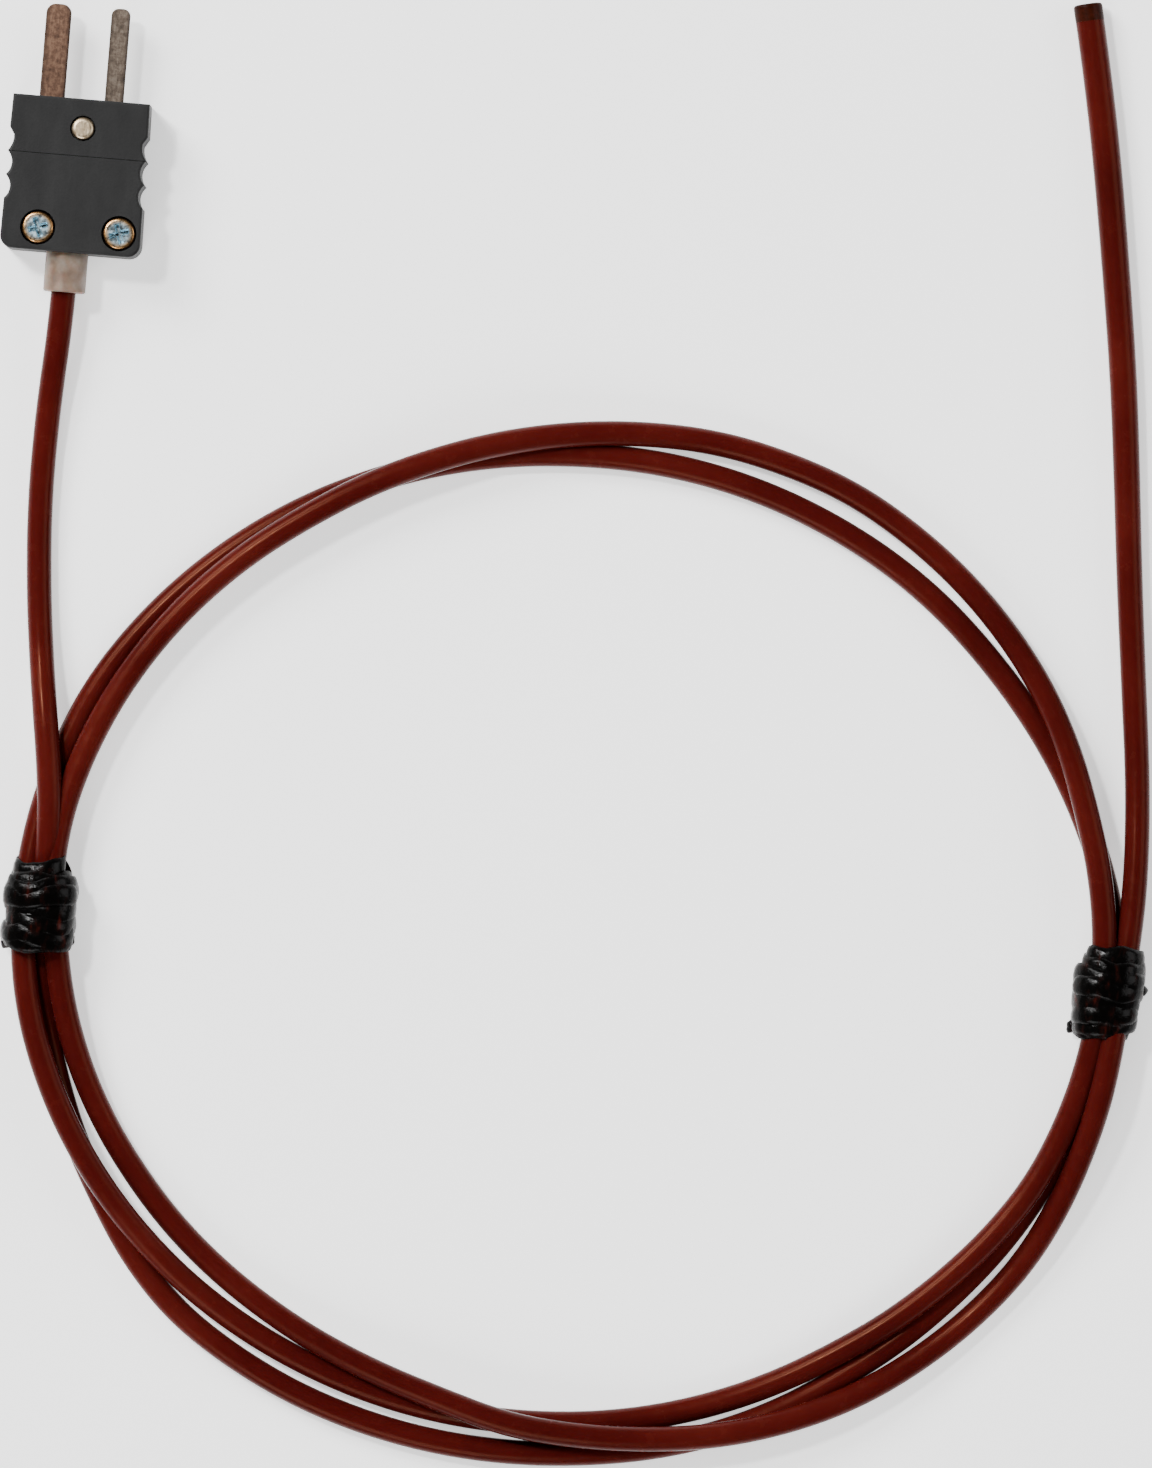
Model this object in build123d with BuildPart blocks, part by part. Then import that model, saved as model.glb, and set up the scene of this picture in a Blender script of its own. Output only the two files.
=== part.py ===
"""Thermocouple: a miniature flat-pin plug, its jacketed two-core cable tied in a coil, and a sealed tip.

The plug lies flat, pins towards +Y, cable leaving towards -Y. The origin is under the middle of the
plug, on the surface that everything rests on. All sizes are in millimetres.
"""
import math
import os

from build123d import *

os.makedirs("parts", exist_ok=True)

# ---------------------------------------------------------------- driving dimensions
# flat pins of the miniature connector pattern
PIN_SPACING = 7.9
PIN_THICKNESS = 0.8
PIN_REACH = 12.0
POSITIVE_WIDTH = 2.4
NEGATIVE_WIDTH = 3.2
PIN_TIP_SHARE = 0.38
PIN_TIP_CHAMFER = 0.2
PIN_FIT_GAP = 0.02
TAB_HALF_WIDTH = 2.2
TAB_CORNER_RADIUS = 0.7
TAB_REAR_REACH = 2.0

# moulded housing
BODY_LENGTH = 19.6
BODY_HEIGHT = 8.0
NOSE_HALF_WIDTH = 8.7
CHEEK_HALF_WIDTH = 8.8
GRIP_HALF_WIDTH = 8.2
TOOTH_HALF_WIDTH = 8.85
TAIL_HALF_WIDTH = 8.95
REAR_CORNER_RADIUS = 1.6
CHEEK_LENGTH = 4.2
GRIP_SETBACK = 5.2
NOSE_LENGTH = 7.25
SECOND_TOOTH_SETBACK = 10.3
FLARE_SETBACK = 13.3
WALL = 1.2
REAR_WALL = 1.6
CAVITY_HALF_WIDTH = 6.9
CAVITY_CORNER_RADIUS = 0.6
EDGE_ROUND = 0.3
SEAM_GAP = 0.07
LID_GAP = 0.1
LID_SIDE_GAP = 0.2
OVERCUT = 0.1
SADDLE_SETBACK = 2.4
SADDLE_WIDTH = 3.0
SADDLE_THICKNESS = 0.8

# fasteners
COVER_SCREW_SETBACK = 16.7
LEFT_COVER_SCREW_X = -4.25
RIGHT_COVER_SCREW_X = 6.1
COVER_SCREW_HEAD_RADIUS = 2.1
COVER_SCREW_HEAD_HEIGHT = 1.5
COVER_SCREW_HEAD_ROUND = 0.45
COVER_SCREW_RADIUS = 1.0
COVER_SCREW_END_CHAMFER = 0.25
RECESS_LENGTH = 2.6
RECESS_WIDTH = 0.7
RECESS_DEPTH = 1.0
RECESS_TAPER = 12
RECESS_HEADING = 20
COUNTERBORE_GAP = 0.14
COUNTERBORE_WALL = 0.55
COUNTERBORE_FLOOR = 0.7
HEAD_GAP = 0.03
INSERT_RADIUS = 1.5
BOSS_RADIUS = 2.1
TERMINAL_SCREW_HEAD_RADIUS = 1.8
TERMINAL_SCREW_HEAD_HEIGHT = 1.15
TERMINAL_SCREW_HEAD_ROUND = 0.4
TERMINAL_SCREW_RADIUS = 1.1
TERMINAL_HOLE_GAP = 0.2
TERMINAL_SETBACK = 2.5
TERMINAL_SLOT_WIDTH = 0.5
TERMINAL_SLOT_DEPTH = 0.5
TERMINAL_SLOT_HEADING = 35
WASHER_WIDTH = 3.6
WASHER_THICKNESS = 0.35
WASHER_CORNER_RADIUS = 0.5
RIVET_SETBACK = 3.75
RIVET_X = 0.45
RIVET_RADIUS = 1.0
RIVET_HEAD_RADIUS = 1.5
RIVET_HEAD_ROUND = 0.6
RIVET_TAIL_CHAMFER = 0.3
RIVET_TAIL_Z = 0.15
RIVET_RECESS_GAP = 0.12
RIVET_RECESS_DEPTH = 0.8
RUNNING_GAP = 0.05
SHORT_OF_FLOOR = 0.3

# cable and sleeve
CABLE_DIAMETER = 3.2
CABLE_X = -0.4
SLEEVE_DIAMETER = 5.4
SLEEVE_REACH = 5.0
SLEEVE_BORE_GAP = 0.1
SLEEVE_RIM_ROUND = 0.3
CONDUCTOR_DIAMETER = 0.5
CONDUCTOR_BEND = 0.5
HOOK_GAP = 0.1
HOOK_SWEEP = 230
LEG_DIAMETER = 1.1
LEG_OFFSET = 0.6
LEG_STRAIGHT = 0.8
LEG_BEND = 0.3
LEG_BORE_GAP = 0.02
LEG_COVERED_SHARE = 0.22
HOOK_LEAD_IN = 1.2
JACKET_SETBACK = 6.1

# coil of cable: a slightly oval ring lying beside the plug
COIL_CENTRE = (71.2, -95.2)
COIL_SEMI_LONG = 68.2
COIL_SEMI_SHORT = 63.3
COIL_TURN = 4.7
COIL_HALF_WIDTH = 4.2
COIL_HEIGHT = 2 * CABLE_DIAMETER

# wound ties round the coil, by their place on the ring in degrees
TIE_LENGTH = 11.9
TIE_WIDTH = 9.8
TIE_HEIGHT = 8.0
TIE_UNDERWRAP = 0.8
TIE_CORNER_RADIUS = 1.0
TIE_TOP_ROUND = 0.9
LEFT_TIE_ANGLE = 175.6
RIGHT_TIE_ANGLE = 354.0

# sealed measuring tip
TIP_DIAMETER = 3.7
TIP_LENGTH = 2.2
TIP_ROUND = 0.4
BEAD_RADIUS = 0.8
BEAD_LENGTH = 1.2
BEAD_ROUND = 0.5

# ---------------------------------------------------------------- places worked out from them
HALF_OVERALL = (PIN_REACH + BODY_LENGTH + SLEEVE_REACH) / 2
MATING_Y = HALF_OVERALL - PIN_REACH
REAR_Y = MATING_Y - BODY_LENGTH
SEAM_Y = MATING_Y - NOSE_LENGTH
CAVITY_FRONT_Y = SEAM_Y - WALL
CAVITY_REAR_Y = REAR_Y + REAR_WALL
PARTING_Z = BODY_HEIGHT / 2
FLOOR_Z = 1.4
ROOF_Z = BODY_HEIGHT - WALL
PIN_Z = PARTING_Z - PIN_THICKNESS / 2

NEGATIVE_X = -PIN_SPACING / 2
POSITIVE_X = PIN_SPACING / 2
TERMINAL_Y = CAVITY_FRONT_Y - TERMINAL_SETBACK
TAB_REAR_Y = TERMINAL_Y - TAB_REAR_REACH

COVER_SCREW_Y = MATING_Y - COVER_SCREW_SETBACK
COVER_SCREW_PLACES = {
    "left": (LEFT_COVER_SCREW_X, COVER_SCREW_Y),
    "right": (RIGHT_COVER_SCREW_X, COVER_SCREW_Y),
}
COUNTERBORE_RADIUS = COVER_SCREW_HEAD_RADIUS + COUNTERBORE_GAP
COUNTERBORE_Z = 6.4
INSERT_Z = 1.6
RIVET_PLACE = (RIVET_X, MATING_Y - RIVET_SETBACK)
RIVET_RECESS_RADIUS = RIVET_HEAD_RADIUS + RIVET_RECESS_GAP

JACKET_END_Y = CAVITY_FRONT_Y - JACKET_SETBACK
WIRE_Z = PARTING_Z + PIN_THICKNESS / 2 + CONDUCTOR_DIAMETER / 2
HOOK_RADIUS = TERMINAL_SCREW_RADIUS + CONDUCTOR_DIAMETER / 2 + HOOK_GAP
WASHER_Z = WIRE_Z + CONDUCTOR_DIAMETER / 2

CABLE_RADIUS = CABLE_DIAMETER / 2

# the cable's route from inside the plug to the coil, and from the coil to the tip
LEAD_ROUTE = [
    (CABLE_X, JACKET_END_Y, 4.0),
    (CABLE_X, -20.5, 4.0),
    (-1.3, -33.0, 2.1),
    (-1.45, -44.5, 1.6),
    (-0.7, -55.5, 1.7),
    (0.4, -64.5, 2.2),
    (1.6, -72.0, 4.3),
    (2.7, -79.0, 4.75),
    (3.4, -86.0, 4.7),
]
TIP_ROUTE = [
    (141.6, -89.0, 4.4),
    (141.8, -81.0, 3.9),
    (141.2, -70.0, 2.3),
    (139.6, -57.0, 1.7),
    (138.0, -44.0, 1.65),
    (136.6, -31.0, 1.65),
    (135.1, -18.0, 1.8),
    (133.1, -5.0, 1.85),
    (131.15, 7.0, 1.9),
    (129.1, 18.0, 1.9),
    (127.1, 27.0, 1.9),
]


# ---------------------------------------------------------------- helpers
def finish_piece(piece, name):
    """Label one finished piece and write its STEP file."""
    piece.part.label = name
    export_step(piece.part, f"parts/{name}.step")
    return piece.part


def housing_outline():
    """Plan of the housing: plain nose, two pointed grip teeth on each side, flared tail."""
    grip_start = MATING_Y - GRIP_SETBACK
    first_tooth = SEAM_Y
    second_tooth = MATING_Y - SECOND_TOOTH_SETBACK
    flare = MATING_Y - FLARE_SETBACK
    with BuildSketch() as outline:
        with BuildLine():
            nose = Line((0, MATING_Y), (NOSE_HALF_WIDTH, MATING_Y))
            cheek = Line(nose @ 1, (CHEEK_HALF_WIDTH, MATING_Y - CHEEK_LENGTH))
            step = Line(cheek @ 1, (GRIP_HALF_WIDTH, grip_start))
            front_scallop = ThreePointArc(
                step @ 1,
                (GRIP_HALF_WIDTH + LID_GAP, (grip_start + first_tooth) / 2),
                (TOOTH_HALF_WIDTH, first_tooth),
            )
            middle_scallop = ThreePointArc(
                front_scallop @ 1,
                (GRIP_HALF_WIDTH, (first_tooth + second_tooth) / 2),
                (TOOTH_HALF_WIDTH, second_tooth),
            )
            rear_scallop = ThreePointArc(
                middle_scallop @ 1,
                (GRIP_HALF_WIDTH, (second_tooth + flare) / 2),
                (TOOTH_HALF_WIDTH, flare),
            )
            tail = Line(rear_scallop @ 1, (TAIL_HALF_WIDTH, REAR_Y))
            Line(tail @ 1, (0, REAR_Y))
            mirror(about=Plane.YZ)
        make_face()
        rear = outline.vertices().group_by(Axis.Y)[0].sort_by(Axis.X)
        fillet([rear[0], rear[-1]], REAR_CORNER_RADIUS)
    return outline.sketch


def housing_half(front, low_z, high_z):
    """Solid slab of the housing's nose or tail between two heights."""
    far = 4 * BODY_LENGTH
    edge = SEAM_Y if front else SEAM_Y - SEAM_GAP
    band_y = edge + far / 2 if front else edge - far / 2
    with BuildPart() as slab:
        with BuildSketch(Plane.XY.offset(low_z)):
            add(housing_outline())
            with Locations((0, band_y)):
                Rectangle(far, far, mode=Mode.INTERSECT)
        extrude(amount=high_z - low_z)
    return slab.part


def blade_bars(low_z, high_z, rear_y, front_y, gap):
    """Two bars along the blades, each a gap wider on either side, for cutting their channels."""
    length = front_y - rear_y
    with BuildPart() as bars:
        for x, width in ((NEGATIVE_X, NEGATIVE_WIDTH), (POSITIVE_X, POSITIVE_WIDTH)):
            with BuildSketch(Plane.XY.offset(low_z)):
                with Locations((x, rear_y + length / 2)):
                    Rectangle(width + 2 * gap, length)
            extrude(amount=high_z - low_z)
    return bars.part


def ring_point(angle_deg):
    """Point on the coil's mean ring in plan, and the heading of the ring's normal there."""
    angle = math.radians(angle_deg)
    turn = math.radians(COIL_TURN)
    along = COIL_SEMI_LONG * math.cos(angle)
    across = COIL_SEMI_SHORT * math.sin(angle)
    normal = (COIL_SEMI_SHORT * math.cos(angle), COIL_SEMI_LONG * math.sin(angle))
    x = COIL_CENTRE[0] + along * math.cos(turn) - across * math.sin(turn)
    y = COIL_CENTRE[1] + along * math.sin(turn) + across * math.cos(turn)
    heading = math.degrees(math.atan2(normal[1], normal[0])) + COIL_TURN
    return x, y, heading


def turn_angle(before, corner, after):
    """Angle in degrees by which a route turns at one of its points."""
    first = Vector(*corner) - Vector(*before)
    second = Vector(*after) - Vector(*corner)
    return first.get_angle(second)


def corner_radii(route):
    """Largest tangent arc that each corner's two runs allow."""
    radii = []
    for before, corner, after in zip(route, route[1:], route[2:]):
        shorter = min(math.dist(before, corner), math.dist(corner, after))
        half_turn = math.radians(turn_angle(before, corner, after)) / 2
        radii.append(0.45 * shorter / math.tan(half_turn))
    return radii


def route_wire(route, name):
    """Straight runs joined by tangent arcs, with the radii printed."""
    radii = corner_radii(route)
    print(name, "radii", [round(radius, 1) for radius in radii])
    with BuildLine() as line:
        FilletPolyline(*route, radius=radii)
    return line.wire()


def report_tube(tube, wire, diameter, name):
    """Compare a tube's volume with its section times its length."""
    expected = math.pi * diameter**2 / 4 * wire.length
    print(name, "length", round(wire.length, 2), "volume ratio", round(tube.volume / expected, 4))


# ---------------------------------------------------------------- housing
def round_outer_edges(face):
    """Soften the moulded edge all round one flat face, leaving the crisp edge along the lid's seam."""
    edges = face.outer_wire().edges()
    fillet([edge for edge in edges if abs(edge.center().Y - SEAM_Y) > 2 * SEAM_GAP], EDGE_ROUND)


def make_housing_base():
    """Lower shell: solid nose with pin channels, hollow tail with pads, bosses and cable saddle."""
    channels = blade_bars(PIN_Z, PARTING_Z, CAVITY_FRONT_Y, MATING_Y, PIN_FIT_GAP)
    with BuildPart() as base:
        with BuildSketch():
            add(housing_outline())
        extrude(amount=PARTING_Z)
        round_outer_edges(base.faces().sort_by(Axis.Z)[0])
        # hollow for the terminals
        cavity_length = CAVITY_FRONT_Y - CAVITY_REAR_Y
        with BuildSketch(Plane.XY.offset(FLOOR_Z)):
            with Locations((0, CAVITY_REAR_Y + cavity_length / 2)):
                RectangleRounded(2 * CAVITY_HALF_WIDTH, cavity_length, CAVITY_CORNER_RADIUS)
        extrude(amount=PARTING_Z - FLOOR_Z, mode=Mode.SUBTRACT)
        # pads that carry the two terminal tabs
        pad_length = CAVITY_FRONT_Y - TAB_REAR_Y
        with BuildSketch(Plane.XY.offset(FLOOR_Z)):
            with Locations(
                (NEGATIVE_X, TAB_REAR_Y + pad_length / 2), (POSITIVE_X, TAB_REAR_Y + pad_length / 2)
            ):
                Rectangle(2 * TAB_HALF_WIDTH, pad_length)
        extrude(amount=PIN_Z - FLOOR_Z)
        # bosses for the threaded inserts
        with BuildSketch(Plane.XY.offset(FLOOR_Z)):
            with Locations(*COVER_SCREW_PLACES.values()):
                Circle(BOSS_RADIUS)
        extrude(amount=PARTING_Z - FLOOR_Z)
        # saddle under the cable jacket
        with BuildSketch(Plane.XY.offset(FLOOR_Z)):
            with Locations((CABLE_X, CAVITY_REAR_Y + SADDLE_SETBACK)):
                Rectangle(SADDLE_WIDTH, SADDLE_THICKNESS)
        extrude(amount=PARTING_Z - CABLE_RADIUS - RUNNING_GAP - FLOOR_Z)
        # holes: inserts, terminal screws, rivet
        with BuildSketch(Plane.XY.offset(INSERT_Z)):
            with Locations(*COVER_SCREW_PLACES.values()):
                Circle(INSERT_RADIUS)
        extrude(amount=PARTING_Z - INSERT_Z, mode=Mode.SUBTRACT)
        with BuildSketch(Plane.XY.offset(FLOOR_Z)):
            with Locations((NEGATIVE_X, TERMINAL_Y), (POSITIVE_X, TERMINAL_Y)):
                Circle(TERMINAL_SCREW_RADIUS + TERMINAL_HOLE_GAP)
        extrude(amount=PARTING_Z - FLOOR_Z, mode=Mode.SUBTRACT)
        with BuildSketch():
            with Locations(RIVET_PLACE):
                Circle(RIVET_RADIUS + RUNNING_GAP)
        extrude(amount=PARTING_Z, mode=Mode.SUBTRACT)
        with BuildSketch():
            with Locations(RIVET_PLACE):
                Circle(RIVET_RECESS_RADIUS)
        extrude(amount=RIVET_RECESS_DEPTH, mode=Mode.SUBTRACT)
        # pin channels and the half-round cable exit
        add(channels, mode=Mode.SUBTRACT)
        with BuildSketch(Plane.XZ.offset(-CAVITY_REAR_Y - OVERCUT)):
            with Locations((CABLE_X, PARTING_Z)):
                Circle(SLEEVE_DIAMETER / 2 + RUNNING_GAP)
        extrude(amount=REAR_WALL + 2 * OVERCUT, mode=Mode.SUBTRACT)
    return finish_piece(base, "housing_base")


def make_front_cap():
    """Upper half of the nose, riveted down over the pins."""
    channels = blade_bars(PARTING_Z, PARTING_Z + PIN_THICKNESS / 2, SEAM_Y, MATING_Y, PIN_FIT_GAP)
    nose = housing_half(True, PARTING_Z, BODY_HEIGHT)
    with BuildPart() as cap:
        add(nose)
        round_outer_edges(cap.faces().sort_by(Axis.Z)[-1])
        add(channels, mode=Mode.SUBTRACT)
        with BuildSketch(Plane.XY.offset(PARTING_Z)):
            with Locations(RIVET_PLACE):
                Circle(RIVET_RADIUS + RUNNING_GAP)
        extrude(amount=PARTING_Z, mode=Mode.SUBTRACT)
        with BuildSketch(Plane.XY.offset(BODY_HEIGHT - RIVET_RECESS_DEPTH)):
            with Locations(RIVET_PLACE):
                Circle(RIVET_RECESS_RADIUS)
        extrude(amount=RIVET_RECESS_DEPTH, mode=Mode.SUBTRACT)
    return finish_piece(cap, "front_cap")


def make_rear_cover():
    """Lift-off lid over the terminals, with counterbored bosses for its two screws."""
    boss_step_z = COUNTERBORE_Z - COUNTERBORE_FLOOR
    blade_top = PARTING_Z + PIN_THICKNESS / 2 + LID_GAP
    blade_room = blade_bars(PARTING_Z, blade_top, CAVITY_FRONT_Y, SEAM_Y, LID_SIDE_GAP)
    tail = housing_half(False, PARTING_Z, BODY_HEIGHT)
    with BuildPart() as cover:
        add(tail)
        round_outer_edges(cover.faces().sort_by(Axis.Z)[-1])
        cavity_length = CAVITY_FRONT_Y - CAVITY_REAR_Y
        with BuildSketch(Plane.XY.offset(PARTING_Z)):
            with Locations((0, CAVITY_REAR_Y + cavity_length / 2)):
                RectangleRounded(2 * CAVITY_HALF_WIDTH, cavity_length, CAVITY_CORNER_RADIUS)
        extrude(amount=ROOF_Z - PARTING_Z, mode=Mode.SUBTRACT)
        # slim boss down to the parting plane, wide boss round the screw head
        with BuildSketch(Plane.XY.offset(PARTING_Z)):
            with Locations(*COVER_SCREW_PLACES.values()):
                Circle(BOSS_RADIUS)
        extrude(amount=ROOF_Z - PARTING_Z)
        with BuildSketch(Plane.XY.offset(boss_step_z)):
            with Locations(*COVER_SCREW_PLACES.values()):
                Circle(COUNTERBORE_RADIUS + COUNTERBORE_WALL)
            add(housing_outline(), mode=Mode.INTERSECT)
        extrude(amount=ROOF_Z - boss_step_z)
        with BuildSketch(Plane.XY.offset(PARTING_Z)):
            with Locations(*COVER_SCREW_PLACES.values()):
                Circle(COVER_SCREW_RADIUS + RUNNING_GAP)
        extrude(amount=PARTING_Z, mode=Mode.SUBTRACT)
        with BuildSketch(Plane.XY.offset(COUNTERBORE_Z)):
            with Locations(*COVER_SCREW_PLACES.values()):
                Circle(COUNTERBORE_RADIUS)
        extrude(amount=BODY_HEIGHT - COUNTERBORE_Z, mode=Mode.SUBTRACT)
        # room over the blades in the front wall, and for the sleeve in the rear wall
        add(blade_room, mode=Mode.SUBTRACT)
        with BuildSketch(Plane.XZ.offset(-CAVITY_REAR_Y - OVERCUT)):
            with Locations((CABLE_X, PARTING_Z)):
                Circle(SLEEVE_DIAMETER / 2 + LID_GAP)
        extrude(amount=REAR_WALL + 2 * OVERCUT, mode=Mode.SUBTRACT)
    return finish_piece(cover, "rear_cover")


# ---------------------------------------------------------------- metal parts of the plug
def make_pin(x, width, name):
    """Flat contact blade with its drilled terminal tab, cut from one strip."""
    with BuildPart() as pin:
        with BuildSketch(Plane.XY.offset(PIN_Z)) as strip:
            with Locations((x, (HALF_OVERALL + TERMINAL_Y) / 2)):
                Rectangle(width, HALF_OVERALL - TERMINAL_Y)
            tip_corners = strip.vertices().group_by(Axis.Y)[-1]
            fillet(tip_corners, PIN_TIP_SHARE * width)
            with Locations((x, (CAVITY_FRONT_Y + TAB_REAR_Y) / 2)):
                RectangleRounded(2 * TAB_HALF_WIDTH, CAVITY_FRONT_Y - TAB_REAR_Y, TAB_CORNER_RADIUS)
            with Locations((x, TERMINAL_Y)):
                Circle(TERMINAL_SCREW_RADIUS + RUNNING_GAP, mode=Mode.SUBTRACT)
        extrude(amount=PIN_THICKNESS)
        blade_tip = pin.edges().group_by(Axis.Y)[-1]
        chamfer(blade_tip, PIN_TIP_CHAMFER)
    return finish_piece(pin, name)


def cross_recess(place, top):
    """Tapering cross, as deep as the driver goes into a screw's head."""
    with BuildPart() as cross:
        for heading in (RECESS_HEADING, RECESS_HEADING + 90):
            with BuildSketch(Plane.XY.offset(top)):
                with Locations(Location((*place, 0), (0, 0, heading))):
                    Rectangle(RECESS_LENGTH, RECESS_WIDTH)
            extrude(amount=-RECESS_DEPTH, taper=RECESS_TAPER)
    return cross.part


def make_cover_screw(place, name):
    """Captive cheese-head screw with a cross recess."""
    underside = COUNTERBORE_Z + HEAD_GAP
    top = underside + COVER_SCREW_HEAD_HEIGHT
    shank_tip = INSERT_Z + SHORT_OF_FLOOR
    recess = cross_recess(place, top)
    with BuildPart() as screw:
        with BuildSketch(Plane.XY.offset(underside)):
            with Locations(place):
                Circle(COVER_SCREW_HEAD_RADIUS)
        extrude(amount=COVER_SCREW_HEAD_HEIGHT)
        fillet(screw.faces().sort_by(Axis.Z)[-1].edges(), COVER_SCREW_HEAD_ROUND)
        with BuildSketch(Plane.XY.offset(underside)):
            with Locations(place):
                Circle(COVER_SCREW_RADIUS)
        extrude(amount=shank_tip - underside)
        chamfer(screw.faces().sort_by(Axis.Z)[0].edges(), COVER_SCREW_END_CHAMFER)
        add(recess, mode=Mode.SUBTRACT)
    return finish_piece(screw, name)


def make_cover_insert(place, name):
    """Threaded brass bush that a cover screw runs into."""
    with BuildPart() as insert:
        with BuildSketch(Plane.XY.offset(INSERT_Z)):
            with Locations(place):
                Circle(INSERT_RADIUS)
                Circle(COVER_SCREW_RADIUS + RUNNING_GAP, mode=Mode.SUBTRACT)
        extrude(amount=PARTING_Z - INSERT_Z)
    return finish_piece(insert, name)


def make_terminal_screw(x, name):
    """Slotted pan-head screw that clamps one conductor on its tab."""
    underside = WASHER_Z + WASHER_THICKNESS + RUNNING_GAP
    top = underside + TERMINAL_SCREW_HEAD_HEIGHT
    with BuildPart() as screw:
        with BuildSketch(Plane.XY.offset(underside)):
            with Locations((x, TERMINAL_Y)):
                Circle(TERMINAL_SCREW_HEAD_RADIUS)
        extrude(amount=TERMINAL_SCREW_HEAD_HEIGHT)
        fillet(screw.faces().sort_by(Axis.Z)[-1].edges(), TERMINAL_SCREW_HEAD_ROUND)
        with BuildSketch(Plane.XY.offset(underside)):
            with Locations((x, TERMINAL_Y)):
                Circle(TERMINAL_SCREW_RADIUS)
        extrude(amount=FLOOR_Z + SHORT_OF_FLOOR - underside)
        with BuildSketch(Plane.XY.offset(top)):
            with Locations(Location((x, TERMINAL_Y, 0), (0, 0, TERMINAL_SLOT_HEADING))):
                Rectangle(2 * (TERMINAL_SCREW_HEAD_RADIUS + OVERCUT), TERMINAL_SLOT_WIDTH)
        extrude(amount=-TERMINAL_SLOT_DEPTH, mode=Mode.SUBTRACT)
    return finish_piece(screw, name)


def make_terminal_washer(x, name):
    """Square clamp washer between the screw head and the hooked conductor."""
    with BuildPart() as washer:
        with BuildSketch(Plane.XY.offset(WASHER_Z)):
            with Locations((x, TERMINAL_Y)):
                RectangleRounded(WASHER_WIDTH, WASHER_WIDTH, WASHER_CORNER_RADIUS)
                Circle(TERMINAL_SCREW_RADIUS + RUNNING_GAP, mode=Mode.SUBTRACT)
        extrude(amount=WASHER_THICKNESS)
    return finish_piece(washer, name)


def make_rivet():
    """Rivet through the nose: domed head above, spread tail below, both in their recesses."""
    head_z = BODY_HEIGHT - RIVET_RECESS_DEPTH
    with BuildPart() as rivet:
        with BuildSketch(Plane.XY.offset(RIVET_TAIL_Z)):
            with Locations(RIVET_PLACE):
                Circle(RIVET_HEAD_RADIUS)
        extrude(amount=RIVET_RECESS_DEPTH - RIVET_TAIL_Z)
        chamfer(rivet.faces().sort_by(Axis.Z)[0].edges(), RIVET_TAIL_CHAMFER)
        with BuildSketch(Plane.XY.offset(RIVET_TAIL_Z)):
            with Locations(RIVET_PLACE):
                Circle(RIVET_RADIUS)
        extrude(amount=head_z - RIVET_TAIL_Z)
        with BuildSketch(Plane.XY.offset(head_z)):
            with Locations(RIVET_PLACE):
                Circle(RIVET_HEAD_RADIUS)
        extrude(amount=RIVET_RECESS_DEPTH)
        fillet(rivet.faces().sort_by(Axis.Z)[-1].edges(), RIVET_HEAD_ROUND)
    return finish_piece(rivet, "front_rivet")


# ---------------------------------------------------------------- wiring inside the plug
def leg_points(side):
    """Plan points of one cable leg, from the jacket's end to the side of its terminal screw."""
    start_x = CABLE_X + side * LEG_OFFSET
    hook_x = side * (PIN_SPACING / 2 - HOOK_RADIUS)
    return [
        (start_x, JACKET_END_Y),
        (start_x, JACKET_END_Y + LEG_STRAIGHT),
        (hook_x, TERMINAL_Y - HOOK_LEAD_IN),
        (hook_x, TERMINAL_Y),
    ]


def make_conductor(side, name):
    """Bare thermo-element: runs out of its leg and hooks round the terminal screw."""
    points = leg_points(side)
    hook_start = 0 if side < 0 else 180
    hook_sweep = -side * HOOK_SWEEP
    with BuildPart() as wire:
        with BuildLine(Plane.XY.offset(WIRE_Z)) as path:
            FilletPolyline(*points, radius=CONDUCTOR_BEND)
            CenterArc((side * PIN_SPACING / 2, TERMINAL_Y), HOOK_RADIUS, hook_start, hook_sweep)
        with BuildSketch(Plane(origin=path.wire() @ 0, z_dir=path.wire() % 0)):
            Circle(CONDUCTOR_DIAMETER / 2)
        sweep(path=path.wire())
    return finish_piece(wire, name)


def make_leg_insulation(side, name):
    """Insulation of one leg, stripped back short of the terminal tab."""
    points = leg_points(side)
    bend, hook = Vector(*points[1]), Vector(*points[2])
    stripped = bend + (hook - bend) * LEG_COVERED_SHARE
    with BuildPart() as leg:
        with BuildLine(Plane.XY.offset(WIRE_Z)) as path:
            FilletPolyline(points[0], points[1], (stripped.X, stripped.Y), radius=LEG_BEND)
        with BuildSketch(Plane(origin=path.wire() @ 0, z_dir=path.wire() % 0)):
            Circle(LEG_DIAMETER / 2)
            Circle(CONDUCTOR_DIAMETER / 2 + LEG_BORE_GAP, mode=Mode.SUBTRACT)
        sweep(path=path.wire())
    return finish_piece(leg, name)


def make_sleeve():
    """Translucent strain-relief sleeve, gripped by the housing's rear wall."""
    length = CAVITY_REAR_Y + HALF_OVERALL
    with BuildPart() as sleeve:
        with BuildSketch(Plane.XZ.offset(HALF_OVERALL)):
            with Locations((CABLE_X, PARTING_Z)):
                Circle(SLEEVE_DIAMETER / 2)
                Circle(CABLE_RADIUS + SLEEVE_BORE_GAP, mode=Mode.SUBTRACT)
        extrude(amount=-length)
        outer_rim = sleeve.faces().sort_by(Axis.Y)[0].outer_wire().edges()
        fillet(outer_rim, SLEEVE_RIM_ROUND)
    return finish_piece(sleeve, "cable_sleeve")


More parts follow.
